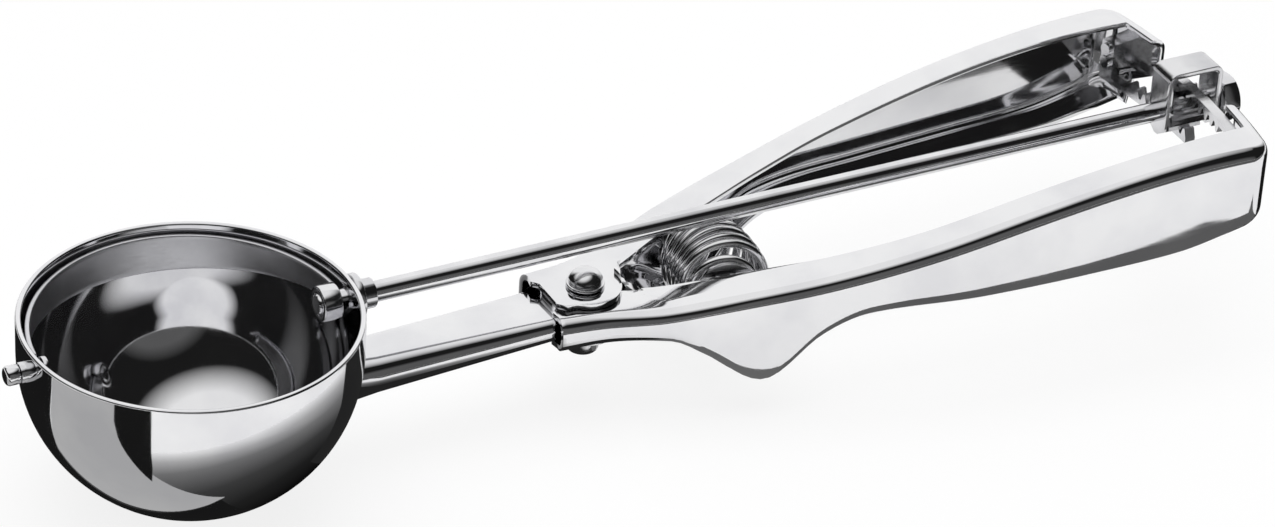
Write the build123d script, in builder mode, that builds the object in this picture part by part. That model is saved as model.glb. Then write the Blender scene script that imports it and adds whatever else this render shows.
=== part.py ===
from build123d import *
import os
from math import asin, cos, degrees, hypot, pi, radians, sin, sqrt

# Lever ice cream scoop with two squeeze handles, in millimetres.
# The origin is the centre of the bowl's mouth, in the plane of the rim. +Z points out of the
# mouth and +X from the bowl to the handles. The scoop is symmetric about Y = 0 but for the
# racks, the stacked ears of the handles and the scraper's blade.

# ---- Driving dimensions -------------------------------------------------------------------

# Bowl: a short straight collar over a round bottom.
bowl_radius = 29.0
bowl_wall = 1.0
axis_drop = 4.0            # from the rim down to the shaft's axis
bottom_drop = 2.5          # from the shaft's axis down to the centre of the round bottom
rim_round = 0.4

# Clearances.
running = 0.05             # radial, on a shaft or pin that turns in a bore
seat_gap = 0.02            # radial, on a bush or rivet that is fixed in its hole
plate_gap = 0.1            # between flat plates that slide over one another
sweep_gap = 0.55           # between the blade and the bowl

# Shaft from the bowl to the pinion.
shaft_radius = 1.8
shaft_tip_reach = 11.1     # from the middle of the racks to the shaft's end
hub_length = 3.4
hub_radius = 3.2
bush_radius = 2.9
bush_flange_radius = 4.0
bush_flange = 1.4
bush_collar_radius = 2.6
bush_collar = 2.6

# Scraper blade, a spherical strip that rests close under the rim on the far side.
blade_thickness = 0.8
blade_width = 7.0
blade_eye_radius = 3.3
blade_rest_angle = 2.0     # under the shaft's level
pin_radius = 1.1
pin_head_radius = 1.7
pin_head_length = 2.4
pin_bush_radius = 1.8
pin_bush_length = 1.5

# Neck: an obround tube from the bowl to the pivot.
neck_wall = 1.0
neck_root_half_width = 5.5
neck_root_half_height = 4.2
neck_root_drop = 15.3      # from the shaft's axis down to the centre of the tube at the bowl
neck_half_width = 6.4
neck_half_height = 2.2
neck_drop = 12.9           # the same at the pivot
neck_straight_x = 66.0
neck_end_x = 78.0
saddle_margin = 1.5
saddle_thickness = 1.1

# Pivot: a rivet through the neck and through two ears on each handle.
pivot_x = 73.5
rivet_radius = 2.5
rivet_head_overhang = 0.5
rivet_head_height = 2.5
rivet_tail_overhang = 0.4
rivet_tail_height = 4.4
washer_width = 0.9
washer_thickness = 0.6
ear_radius = 6.4

# Handles: thin channels, open towards each other.
handle_wall = 1.0
handle_edge_round = 2.6
handle_end_radius = 124.6  # from the pivot to the outside of the end wall
handle_corner_round = 5.0
handle_nose_x = 65.2
handle_top = 6.6           # above the shaft's axis, at the far end
handle_bottom = -13.4      # below it, along the grip
bump_bottom = -24.7
bump_x = 100.0

# Spring between the handles, coiled about an arc round the pivot.
spring_arc_radius = 25.0
spring_wire_radius = 0.78
spring_coil_radius = 7.4
spring_end_radius = 4.6    # of the last turn, which sits on the seat
spring_turns = 7
spring_half_angle = 17.0
spring_drop = 10.8
peg_radius = 2.8
seat_gap_angle = 1.65      # from the end of the wire's centre line to the seat
seat_thickness = 0.8
seat_radius = 5.6
seat_stub_radius = 3.6
seat_stub_length = 3.0

# Pinion and racks at the handle ends.
tooth_module = 0.7
pinion_teeth = 10
rack_setback = 4.6         # from the outside of the end wall in to the middle of both racks
rack_thickness = 2.0
tooth_play = 0.16
tooth_foot = 0.38          # half width of a pinion tooth at its root
tooth_tip = 0.2            # and at its tip
rack_height = 5.4          # from the shaft's axis to the back of each rack
rack_reach = 4.2           # from the pinion's axis to a rack's free end, at rest
rack_teeth = 9
foot_inner_y = 19.4
foot_outer_y = 22.6
foot_half_height = 2.6
pinion_start = 3.7         # short of the middle of the racks
pinion_length = 6.6
scraper_sweep = 158.0

# Bracket over the pinion, carried by the shaft.
bracket_near = 4.9         # short of the middle of the racks
bracket_far = 6.4          # and past it
bracket_plate = 1.0
bracket_half_width = 2.9
bracket_top = 8.7
bracket_bottom = -4.6
nut_across_flats = 8.0
nut_thickness = 3.2
end_washer_radius = 4.1
end_washer_thickness = 0.5
rack_rivet_radius = 0.7
rack_rivet_head_radius = 1.15
rack_rivet_head = 0.7
rack_rivet_height = 1.3    # above and below the shaft's axis

# ---- Derived values -----------------------------------------------------------------------

rivet_head_radius = rivet_radius + rivet_head_overhang
rivet_tail_radius = rivet_radius + rivet_tail_overhang
washer_radius = rivet_radius + washer_width
rack_radius = handle_end_radius - rack_setback
rack_x = pivot_x + rack_radius
pinion_start_x = rack_x - pinion_start
bracket_near_x = rack_x - bracket_near
bracket_far_x = rack_x + bracket_far
shaft_tip_x = rack_x + shaft_tip_reach
axis_z = -axis_drop
bottom_centre_z = axis_z - bottom_drop
bowl_inner = bowl_radius - bowl_wall
blade_radius = bowl_inner - sweep_gap
blade_inner = blade_radius - blade_thickness
pitch_radius = tooth_module * pinion_teeth / 2
swing = degrees(radians(scraper_sweep) * pitch_radius / rack_radius)
pivot = (pivot_x, 0, 0)
shaft_line = Axis((0, 0, axis_z), (1, 0, 0))
pivot_line = Axis(pivot, (0, 0, 1))

neck_top = axis_z - neck_drop + neck_half_height
neck_bottom = axis_z - neck_drop - neck_half_height
# Ears from the neck outwards: the front handle's pair lies inside the back handle's pair.
front_ear_top = neck_top + plate_gap + handle_wall
front_ear_bottom = neck_bottom - plate_gap - handle_wall
back_ear_top = front_ear_top + plate_gap + handle_wall
back_ear_bottom = front_ear_bottom - plate_gap - handle_wall
washer_bottom = back_ear_top + plate_gap
washer_top = washer_bottom + washer_thickness
tail_top = back_ear_bottom - plate_gap

os.makedirs("parts", exist_ok=True)


def save(part, name):
    """Label a finished piece and write it under the node's name."""
    part.label = name
    export_step(part, f"parts/{name}.step")


def across(x):
    """A plane square to the shaft at x, centred on its axis, with local X along +Y."""
    return Plane(origin=(x, 0, axis_z), x_dir=(0, 1, 0), z_dir=(1, 0, 0))


# ---- Bowl ---------------------------------------------------------------------------------

with BuildPart() as bowl:
    with BuildSketch(Plane.XZ) as bowl_profile:
        with BuildLine():
            Line((bowl_inner, 0), (bowl_radius, 0))
            Line((bowl_radius, 0), (bowl_radius, bottom_centre_z))
            CenterArc((0, bottom_centre_z), bowl_radius, 0, -90)
            Line((0, bottom_centre_z - bowl_radius), (0, bottom_centre_z - bowl_inner))
            CenterArc((0, bottom_centre_z), bowl_inner, 0, -90)
            Line((bowl_inner, bottom_centre_z), (bowl_inner, 0))
        make_face()
    revolve(axis=Axis.Z)
    fillet(bowl.edges().group_by(Axis.Z)[-1], rim_round)
    with BuildSketch(across(0)):
        Circle(bush_radius + seat_gap)
    extrude(amount=bowl_radius + 1, mode=Mode.SUBTRACT)
    with BuildSketch(across(0)):
        Circle(pin_bush_radius + seat_gap)
    extrude(amount=-bowl_radius - 1, mode=Mode.SUBTRACT)
save(bowl.part, "bowl")

# Bush in the bowl's wall, with a flange and a short collar outside, where the shaft enters.
bush_start_x = bowl_inner - 0.2
with BuildPart() as shaft_bush:
    with BuildSketch(across(bush_start_x)):
        Circle(bush_radius)
    extrude(amount=bowl_radius - bush_start_x)
    with BuildSketch(across(bowl_radius)):
        Circle(bush_flange_radius)
    extrude(amount=bush_flange)
    with BuildSketch(across(bowl_radius + bush_flange)):
        Circle(bush_collar_radius)
    extrude(amount=bush_collar)
    chamfer(shaft_bush.edges().group_by(Axis.X)[-1], 0.3)
    with BuildSketch(across(0)):
        Circle(shaft_radius + running)
    extrude(amount=bowl_radius * 2, mode=Mode.SUBTRACT)
save(shaft_bush.part, "shaft_bush")

# Plain bush opposite, where the blade's pin turns.
with BuildPart() as pin_bush:
    with BuildSketch(across(-bush_start_x)):
        Circle(pin_bush_radius)
        Circle(pin_radius + running, mode=Mode.SUBTRACT)
    extrude(amount=-(bowl_radius - bush_start_x + pin_bush_length))
    fillet(pin_bush.edges().group_by(Axis.X)[0].sort_by(SortBy.LENGTH)[-1:], 0.3)
save(pin_bush.part, "pin_bush")

# ---- Neck ---------------------------------------------------------------------------------


def neck_section(x, half_width, half_height, drop, grow=0.0):
    """Obround face square to the shaft, flat on top and below."""
    with BuildSketch(Plane(origin=(x, 0, axis_z - drop), x_dir=(0, 1, 0), z_dir=(1, 0, 0))) as s:
        SlotOverall(2 * (half_width + grow), 2 * (half_height + grow))
    return s.sketch


neck_start_x = 20.0


def neck_body(grow):
    """The neck's outline: tapered from the bowl, then straight through the pivot."""
    root = neck_section(neck_start_x, neck_root_half_width, neck_root_half_height,
                        neck_root_drop, grow)
    middle = neck_section(neck_straight_x, neck_half_width, neck_half_height, neck_drop, grow)
    with BuildPart() as body:
        loft([root, middle], ruled=True)
        extrude(middle, amount=neck_end_x - neck_straight_x - min(grow, 0), dir=(1, 0, 0))
    return body.part


neck_outside = neck_body(0.0)
neck_inside = neck_body(-neck_wall)
with BuildPart() as bowl_form:
    with Locations((0, 0, bottom_centre_z)):
        Sphere(bowl_radius)
    Cylinder(bowl_radius, -bottom_centre_z, align=(Align.CENTER, Align.CENTER, Align.MAX))

with BuildPart() as saddle_form:
    with Locations((0, 0, bottom_centre_z)):
        Sphere(bowl_radius + saddle_thickness)

with BuildPart() as neck:
    add(neck_outside)
    # A saddle, formed to the bowl, spreads the joint round the tube's root.
    with BuildSketch(Plane(origin=(0, 0, axis_z - neck_root_drop), x_dir=(0, 1, 0),
                           z_dir=(1, 0, 0))):
        SlotOverall(2 * (neck_root_half_width + saddle_margin),
                    2 * (neck_root_half_height + saddle_margin))
    extrude(amount=bowl_radius + saddle_thickness)
    saddle_end = neck.part & saddle_form.part
    add(neck_outside - saddle_form.part + saddle_end, mode=Mode.REPLACE)
    add(neck_inside, mode=Mode.SUBTRACT)
    add(bowl_form.part, mode=Mode.SUBTRACT)
    with BuildSketch(Plane.XY.offset(neck_bottom - 1)):
        with Locations((pivot_x, 0)):
            Circle(rivet_radius + seat_gap)
    extrude(amount=2 * neck_half_height + 2, mode=Mode.SUBTRACT)
save(neck.part, "neck")

# ---- Pivot --------------------------------------------------------------------------------

tail_bottom = tail_top - rivet_tail_height
head_top = washer_top + rivet_head_height
dome_height = 0.65 * rivet_head_height
dome_radius = (rivet_head_radius**2 + dome_height**2) / (2 * dome_height)
dome_angle = degrees(asin(rivet_head_radius / dome_radius))
with BuildPart() as pivot_rivet:
    with BuildSketch(Plane.XZ) as rivet_profile:
        with BuildLine():
            Polyline((pivot_x, tail_bottom), (pivot_x + rivet_tail_radius, tail_bottom),
                     (pivot_x + rivet_tail_radius, tail_top), (pivot_x + rivet_radius, tail_top),
                     (pivot_x + rivet_radius, washer_top),
                     (pivot_x + rivet_head_radius, washer_top),
                     (pivot_x + rivet_head_radius, head_top - dome_height))
            CenterArc((pivot_x, head_top - dome_radius), dome_radius, 90 - dome_angle, dome_angle)
            Line((pivot_x, head_top), (pivot_x, tail_bottom))
        make_face()
    revolve(axis=pivot_line)
    fillet(pivot_rivet.edges().group_by(Axis.Z)[0], 1.2)
save(pivot_rivet.part, "pivot_rivet")

with BuildPart() as pivot_washer:
    with BuildSketch(Plane.XY.offset(washer_bottom)):
        with Locations((pivot_x, 0)):
            Circle(washer_radius)
            Circle(rivet_radius + seat_gap, mode=Mode.SUBTRACT)
    extrude(amount=washer_thickness)
    fillet(pivot_washer.edges().group_by(Axis.Z)[-1].sort_by(SortBy.LENGTH)[-1:], 0.2)
save(pivot_washer.part, "pivot_washer")

# ---- Handles ------------------------------------------------------------------------------

# Half widths of the outline seen from above, from the nose to the far end.
outer_points = [(74.0, 9.8), (84.0, 13.2), (95.0, 17.3), (110.0, 21.1), (130.0, 24.6),
                (150.0, 26.3), (175.0, 27.4)]
outer_end = 28.0
inner_points = [(175.0, 20.4), (150.0, 19.6), (130.0, 18.0), (115.0, 15.0), (103.0, 11.5),
                (92.0, 8.0)]
inner_end = 20.0
end_wall_reach = 12.6      # half the gap between the two end walls
end_wall_lip = 2.0
nose_half_width = 8.7
ear_front_x = 66.3
ear_turn = 148.0           # degrees round the rivet from the ear's root to its straight side
ear_corner = 1.4
# Heights over the shaft's axis of the top edge, as it climbs from the ears to the far end,
# and of the bottom edge, as it rises at the far end.
climb_points = [(95.0, -6.9), (112.0, -4.4), (130.0, -1.1), (150.0, 2.8), (166.0, 5.2)]
heel_end = -7.9
heel_points = [(187.0, -11.0), (178.0, -12.6)]
far_x = pivot_x + sqrt(handle_end_radius**2 - outer_end**2)


def handle_plan(side, wall, open_side):
    """Outline from above. With a wall it is the hollow, which runs on past the open side."""
    with BuildSketch() as plan:
        end_radius = handle_end_radius - wall
        outer_y = outer_end - wall
        end_x = pivot_x + sqrt(end_radius**2 - outer_y**2)
        nose_x = handle_nose_x if not open_side else handle_nose_x - 20
        outer = [(nose_x, nose_half_width - wall)]
        outer += [(x, y - wall) for x, y in outer_points]
        outer += [(end_x, outer_y)]
        with BuildLine():
            Spline([(x, side * y) for x, y in outer])
            if open_side:
                past = -20.0
                past_x = pivot_x + sqrt(end_radius**2 - past**2)
                CenterArc((pivot_x, 0), end_radius, side * degrees(asin(past / end_radius)),
                          side * degrees(asin(outer_y / end_radius) - asin(past / end_radius)))
                Polyline((past_x, side * past), (nose_x, side * past),
                         (nose_x, side * (nose_half_width - wall)))
            else:
                # The end wall reaches further in than the flanges, with a narrow lip on top.
                start = degrees(asin(end_wall_reach / end_radius))
                lip_radius = end_radius - handle_wall - end_wall_lip
                lip_end = degrees(asin(inner_end / lip_radius))
                CenterArc((pivot_x, 0), end_radius, side * start,
                          side * (degrees(asin(outer_y / end_radius)) - start))
                Line(*[(pivot_x + r * cos(radians(start)), side * r * sin(radians(start)))
                       for r in (end_radius, lip_radius)])
                CenterArc((pivot_x, 0), lip_radius, side * start, side * (lip_end - start))
                inner_x = pivot_x + lip_radius * cos(radians(lip_end))
                root = (pivot_x + ear_radius * cos(radians(20)),
                        -ear_radius * sin(radians(20)))
                Spline([(inner_x, side * inner_end)] + [(x, side * y) for x, y in inner_points]
                       + [(root[0], side * -root[1])])
                # The ear's arc ends in a straight side, with a cut corner, and a square front.
                CenterArc((pivot_x, 0), ear_radius, side * 20, -side * ear_turn)
                stop = radians(20 - ear_turn)
                ear_y = ear_radius * sin(stop)
                Polyline((pivot_x + ear_radius * cos(stop), side * ear_y),
                         (ear_front_x + ear_corner, side * ear_y),
                         (ear_front_x, side * (ear_y + ear_corner)),
                         (ear_front_x, side * 3.2),
                         (handle_nose_x, side * nose_half_width / 2),
                         (handle_nose_x, side * nose_half_width))
        make_face()
    return plan.sketch


def handle_side(ear_top, ear_bottom, wall):
    """Outline from the side: flat at the ears, climbing on top, with the finger bump below."""
    with BuildSketch(Plane.XZ) as outline:
        top_z = axis_z + handle_top - wall
        base_z = axis_z + handle_bottom + wall
        end_x = pivot_x + handle_end_radius + 2
        flat_x = pivot_x + ear_radius + 1
        with BuildLine():
            Line((handle_nose_x - 25, ear_top - wall), (flat_x, ear_top - wall))
            Spline([(flat_x, ear_top - wall)] + [(x, axis_z + z - wall) for x, z in climb_points]
                   + [(182.0, top_z)], tangents=[(1, 0), (1, 0)])
            heel = [(end_x, axis_z + heel_end + wall)]
            heel += [(x, axis_z + z + wall) for x, z in heel_points]
            Polyline((182.0, top_z), (end_x, top_z), heel[0])
            Spline(heel + [(160.0, base_z + 0.2), (140.0, base_z), (bump_x + 18, base_z + 0.1),
                           (bump_x + 9.5, axis_z - 16.7 + wall),
                           (bump_x, axis_z + bump_bottom + wall),
                           (bump_x - 10, axis_z - 19.2 + wall), (bump_x - 16, ear_bottom + wall)],
                   tangents=[(-1, -0.25), (-1, 0)])
            Polyline((bump_x - 16, ear_bottom + wall), (handle_nose_x - 25, ear_bottom + wall),
                     (handle_nose_x - 25, ear_top - wall))
        make_face()
    return outline.sketch


def handle_form(side, ear_top, ear_bottom, wall):
    """The handle's rounded outline as a solid, or with a wall the space inside it."""
    with BuildPart() as form:
        with BuildSketch(Plane.XY.offset(axis_z + bump_bottom - 5)):
            add(handle_plan(side, wall, wall > 0))
        extrude(amount=50)
        extrude(handle_side(ear_top, ear_bottom, wall), amount=60, both=True,
                mode=Mode.INTERSECT)
        corner = (pivot_x + sqrt((handle_end_radius - wall)**2 - (outer_end - wall)**2),
                  side * (outer_end - wall), axis_z)
        fillet(form.edges().filter_by(Axis.Z).sort_by_distance(corner)[:1],
               handle_corner_round - wall)
        long_edges = []
        for edge in form.edges():
            middle = edge.center()
            reach = hypot(middle.X - pivot_x, middle.Y)
            along = side * middle.Y > outer_line(middle.X) - wall - 0.9
            across_end = reach > handle_end_radius - wall - 1 and side * middle.Y > 15
            upright = abs((edge @ 1 - edge @ 0).Z) > 0.9 * edge.length
            if (along or across_end or middle.Z < axis_z - 20 and side * middle.Y > 15) \
                    and not upright:
                long_edges.append(edge)
        fillet(long_edges, handle_edge_round - wall)
    return form.part


def outer_line(x):
    """Half width of the outline at x, read along straight lines between its points."""
    points = [(handle_nose_x, nose_half_width)] + outer_points + [(far_x, outer_end)]
    for (x0, y0), (x1, y1) in zip(points, points[1:]):
        if x <= x1:
            return y0 + (y1 - y0) * (x - x0) / (x1 - x0)
    return outer_end


def under_tongue(side):
    """Outline, seen from the end, of what is cut from under the end wall's inner part."""
    with BuildSketch(Plane.YZ.offset(pivot_x + handle_end_radius - 8.1)) as cut:
        with BuildLine():
            Polyline((side * 5, axis_z - 1.2), (side * end_wall_reach, axis_z - 1.2),
                     (side * (inner_end + 0.2), axis_z - 6.0),
                     (side * (inner_end + 0.2), axis_z - 30),
                     (side * 5, axis_z - 30), close=True)
        make_face()
    return cut.sketch


front_hollow = handle_form(-1, front_ear_top, front_ear_bottom, handle_wall)
back_hollow = handle_form(1, back_ear_top, back_ear_bottom, handle_wall)


def radial(angle, reach, height):
    """A plane square to the line from the pivot at an angle, with local X along the arc."""
    turn = radians(angle)
    return Plane(origin=(pivot_x + reach * cos(turn), reach * sin(turn), axis_z + height),
                 x_dir=(-sin(turn), cos(turn), 0), z_dir=(cos(turn), sin(turn), 0))


foot_angle = degrees((asin(foot_inner_y / rack_radius) + asin(foot_outer_y / rack_radius)) / 2)

with BuildPart() as front_handle:
    add(handle_form(-1, front_ear_top, front_ear_bottom, 0.0))
    add(front_hollow, mode=Mode.SUBTRACT)
    extrude(under_tongue(-1), amount=15, mode=Mode.SUBTRACT)
    with BuildSketch(Plane.XY.offset(back_ear_bottom - 5)):
        with Locations((pivot_x, 0)):
            Circle(rivet_radius + running)
    extrude(amount=30, mode=Mode.SUBTRACT)
    for height in (-rack_rivet_height, rack_rivet_height):
        with BuildSketch(radial(-foot_angle, rack_radius, height)):
            Circle(rack_rivet_radius + seat_gap)
        extrude(amount=10, mode=Mode.SUBTRACT)
save(front_handle.part, "front_handle")

with BuildPart() as back_handle:
    add(handle_form(1, back_ear_top, back_ear_bottom, 0.0))
    add(back_hollow, mode=Mode.SUBTRACT)
    extrude(under_tongue(1), amount=15, mode=Mode.SUBTRACT)
    with BuildSketch(Plane.XY.offset(back_ear_bottom - 5)):
        with Locations((pivot_x, 0)):
            Circle(rivet_radius + running)
    extrude(amount=30, mode=Mode.SUBTRACT)
    for height in (-rack_rivet_height, rack_rivet_height):
        with BuildSketch(radial(foot_angle, rack_radius, height)):
            Circle(rack_rivet_radius + seat_gap)
        extrude(amount=10, mode=Mode.SUBTRACT)
save(back_handle.part, "back_handle")

# ---- Racks --------------------------------------------------------------------------------

rack_inner = rack_radius - rack_thickness / 2
rack_outer = rack_radius + rack_thickness / 2
wall_inner = handle_end_radius - handle_wall
tooth_pitch = pi * tooth_module
tooth_half = tooth_pitch / 4 - tooth_play / 4
flank_slope = 0.364        # of a 20 degree pressure angle
addendum = 0.95 * tooth_module
dedendum = 1.25 * tooth_module


def sector(start, end, near, far):
    """Flat piece of a ring about the pivot, between two angles and two radii."""
    with BuildSketch() as ring:
        with Locations((pivot_x, 0)):
            Circle(far)
            Circle(near, mode=Mode.SUBTRACT)
        with BuildLine():
            a, b = radians(start), radians(end)
            reach = 1.5 * far
            Polyline((pivot_x, 0), (pivot_x + reach * cos(a), reach * sin(a)),
                     (pivot_x + reach * cos(b), reach * sin(b)), (pivot_x, 0))
        make_face(mode=Mode.INTERSECT)
    return ring.sketch


free_angle = degrees(asin(rack_reach / rack_radius))
foot_start = -degrees(asin(foot_outer_y / rack_radius))
foot_end = -degrees(asin(foot_inner_y / rack_radius))
rack_root = pitch_radius + dedendum

with BuildPart() as front_rack:
    add(sector(foot_start, free_angle, rack_inner, rack_outer).moved(
        Location((0, 0, axis_z + rack_root))))
    extrude(amount=rack_height - rack_root)
    # The foot hangs from the bar and reaches out to the handle's end wall.
    add(sector(foot_start, foot_end, rack_inner, wall_inner).moved(
        Location((0, 0, axis_z - foot_half_height))))
    extrude(amount=2 * foot_half_height)
    add(sector(foot_start, foot_end, rack_inner, rack_outer).moved(Location((0, 0, axis_z))))
    extrude(amount=rack_height)
    for tooth in range(rack_teeth):
        place = degrees((1.5 - tooth) * tooth_pitch / rack_radius)
        with BuildSketch(radial(place, rack_inner, pitch_radius)):
            with BuildLine():
                low, high = -addendum, dedendum + 0.2
                Polyline((-tooth_half - flank_slope * high, high),
                         (-tooth_half - flank_slope * low, low),
                         (tooth_half + flank_slope * low, low),
                         (tooth_half + flank_slope * high, high), close=True)
            make_face()
        extrude(amount=rack_thickness)
    for height in (-rack_rivet_height, rack_rivet_height):
        with BuildSketch(radial(-foot_angle, rack_inner - 1, height)):
            Circle(rack_rivet_radius + seat_gap)
        extrude(amount=10, mode=Mode.SUBTRACT)
save(front_rack.part, "front_rack")

with BuildPart() as front_rack_rivets:
    for height in (-rack_rivet_height, rack_rivet_height):
        with BuildSketch(radial(-foot_angle, rack_inner - seat_gap - rack_rivet_head, height)):
            Circle(rack_rivet_head_radius)
        extrude(amount=rack_rivet_head)
        with BuildSketch(radial(-foot_angle, rack_inner - seat_gap, height)):
            Circle(rack_rivet_radius)
        extrude(amount=handle_end_radius - rack_inner + seat_gap)
        with BuildSketch(radial(-foot_angle, handle_end_radius, height)):
            Circle(rack_rivet_head_radius)
        extrude(amount=rack_rivet_head)
    fillet(front_rack_rivets.edges().group_by(SortBy.DISTANCE)[-1], 0.3)
save(front_rack_rivets.part, "front_rack_rivets")

# The back handle carries the same rack, turned half a turn about the shaft.
back_rack = BuildPart()
with back_rack:
    add(front_rack.part.rotate(shaft_line, 180))
save(back_rack.part, "back_rack")
with BuildPart() as back_rack_rivets:
    add(front_rack_rivets.part.rotate(shaft_line, 180))
save(back_rack_rivets.part, "back_rack_rivets")

# ---- Spring and its pegs ------------------------------------------------------------------


def spring_peg(side, hollow):
    """A peg that stands on the handle's wall and holds one end of the spring."""
    angle = side * (spring_half_angle + seat_gap_angle)
    turn = radians(angle)
    seat = Plane(origin=(pivot_x + spring_arc_radius * cos(turn),
                         spring_arc_radius * sin(turn), axis_z - spring_drop),
                 x_dir=(cos(turn), sin(turn), 0),
                 z_dir=(-side * sin(turn), side * cos(turn), 0))
    with BuildPart() as peg:
        with BuildSketch(seat):
            Circle(peg_radius)
        extrude(amount=14)
        add(hollow, mode=Mode.INTERSECT)
        with BuildSketch(seat):
            Circle(seat_radius)
        extrude(amount=seat_thickness)
        with BuildSketch(seat):
            Circle(seat_stub_radius)
        extrude(amount=-seat_stub_length)
        ends = peg.faces().filter_by(GeomType.PLANE).sort_by(
            lambda face: abs(face.center().Y))[:1]
        chamfer(ends.edges(), 0.5)
    return peg.part


with BuildPart() as front_spring_peg:
    add(spring_peg(-1, front_hollow))
save(front_spring_peg.part, "front_spring_peg")
with BuildPart() as back_spring_peg:
    add(spring_peg(1, back_hollow))
save(back_spring_peg.part, "back_spring_peg")


def coil_point(step):
    """A point on the wire's centre line; step runs from 0 at one end to 1 at the other."""
    around = 2 * pi * spring_turns * step
    turn = radians(spring_half_angle) * (2 * step - 1)
    # The coil draws in over its last turn at each end.
    full = min(1, spring_turns * min(step, 1 - step))
    share = (1 - cos(pi * full)) / 2
    radius = spring_end_radius + (spring_coil_radius - spring_end_radius) * share
    reach = spring_arc_radius + radius * cos(around)
    return (pivot_x + reach * cos(turn), reach * sin(turn),
            axis_z - spring_drop + radius * sin(around))


coil_steps = 12 * spring_turns
with BuildPart() as handle_spring:
    with BuildLine() as coil:
        Spline([coil_point(n / coil_steps) for n in range(coil_steps + 1)])
    with BuildSketch(Plane(origin=coil.line @ 0, z_dir=coil.line % 0)):
        Circle(spring_wire_radius)
    sweep(path=coil.line, is_frenet=True)
save(handle_spring.part, "handle_spring")

# ---- Shaft and scraper --------------------------------------------------------------------

shaft_start_x = blade_inner - hub_length - 0.6
with BuildPart() as shaft:
    with BuildSketch(across(shaft_start_x)):
        Circle(shaft_radius)
    extrude(amount=shaft_tip_x - shaft_start_x)
    chamfer(shaft.edges().group_by(Axis.X)[-1], 0.4)
    chamfer(shaft.edges().group_by(Axis.X)[0], 0.3)
save(shaft.part, "shaft")

blade_side = Plane(origin=(0, 0, axis_z), x_dir=(1, 0, 0),
                   z_dir=(0, cos(radians(blade_rest_angle)), -sin(radians(blade_rest_angle))))
with BuildPart() as blade_shell:
    with Locations((0, 0, axis_z)):
        Sphere(blade_radius)
        Sphere(blade_inner, mode=Mode.SUBTRACT)
with BuildPart() as scraper_blade:
    with BuildSketch(blade_side):
        with BuildLine():
            tip = blade_radius + 1
            half = blade_width / 2
            ThreePointArc((-tip, 1.6), (0, half), (tip, 1.6))
            Line((tip, 1.6), (tip, -1.6))
            ThreePointArc((tip, -1.6), (0, -half), (-tip, -1.6))
            Line((-tip, -1.6), (-tip, 1.6))
        make_face()
    extrude(amount=blade_radius + 1)
    with BuildSketch(across(-blade_radius - 1)):
        Circle(blade_eye_radius)
    extrude(amount=2 * blade_radius + 2)
    add(blade_shell.part, mode=Mode.INTERSECT)
    with BuildSketch(across(0)):
        Circle(shaft_radius + seat_gap)
    extrude(amount=blade_radius + 1, mode=Mode.SUBTRACT)
    with BuildSketch(across(0)):
        Circle(pin_radius + seat_gap)
    extrude(amount=-blade_radius - 1, mode=Mode.SUBTRACT)
save(scraper_blade.part, "scraper_blade")

hub_end_x = sqrt(blade_inner**2 - hub_radius**2) - seat_gap
with BuildPart() as scraper_hub:
    with BuildSketch(across(hub_end_x - hub_length)):
        Circle(hub_radius)
        Circle(shaft_radius + seat_gap, mode=Mode.SUBTRACT)
    extrude(amount=hub_length)
    fillet(scraper_hub.edges().group_by(Axis.X)[0].sort_by(SortBy.LENGTH)[-1:], 0.4)
save(scraper_hub.part, "scraper_hub")

pin_flange_radius = 2.0
pin_flange_x = -sqrt(blade_inner**2 - pin_flange_radius**2) + seat_gap
pin_head_x = -bowl_radius - pin_bush_length - 0.1
with BuildPart() as scraper_pin:
    with BuildSketch(across(pin_flange_x)):
        Circle(pin_flange_radius)
    extrude(amount=0.9)
    with BuildSketch(across(pin_flange_x)):
        Circle(pin_radius)
    extrude(amount=pin_head_x - pin_flange_x)
    with BuildSketch(across(pin_head_x)):
        Circle(pin_head_radius)
    extrude(amount=-pin_head_length)
    fillet(scraper_pin.edges().group_by(Axis.X)[0], 0.6)
save(scraper_pin.part, "scraper_pin")

# ---- Pinion, bracket and end fixing -------------------------------------------------------

pinion_tip = pitch_radius + addendum
pinion_root = pitch_radius - dedendum
with BuildPart() as pinion:
    with BuildSketch(across(pinion_start_x)):
        Circle(pinion_root)
        with PolarLocations(0, pinion_teeth, start_angle=90):
            Polygon((pinion_root - 0.3, -tooth_foot), (pinion_root + 0.1, -tooth_foot),
                    (pitch_radius, -tooth_half), (pinion_tip, -tooth_tip),
                    (pinion_tip, tooth_tip), (pitch_radius, tooth_half),
                    (pinion_root + 0.1, tooth_foot), (pinion_root - 0.3, tooth_foot),
                    align=None)
        Circle(shaft_radius + seat_gap, mode=Mode.SUBTRACT)
    extrude(amount=pinion_length)
save(pinion.part, "pinion")

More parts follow.
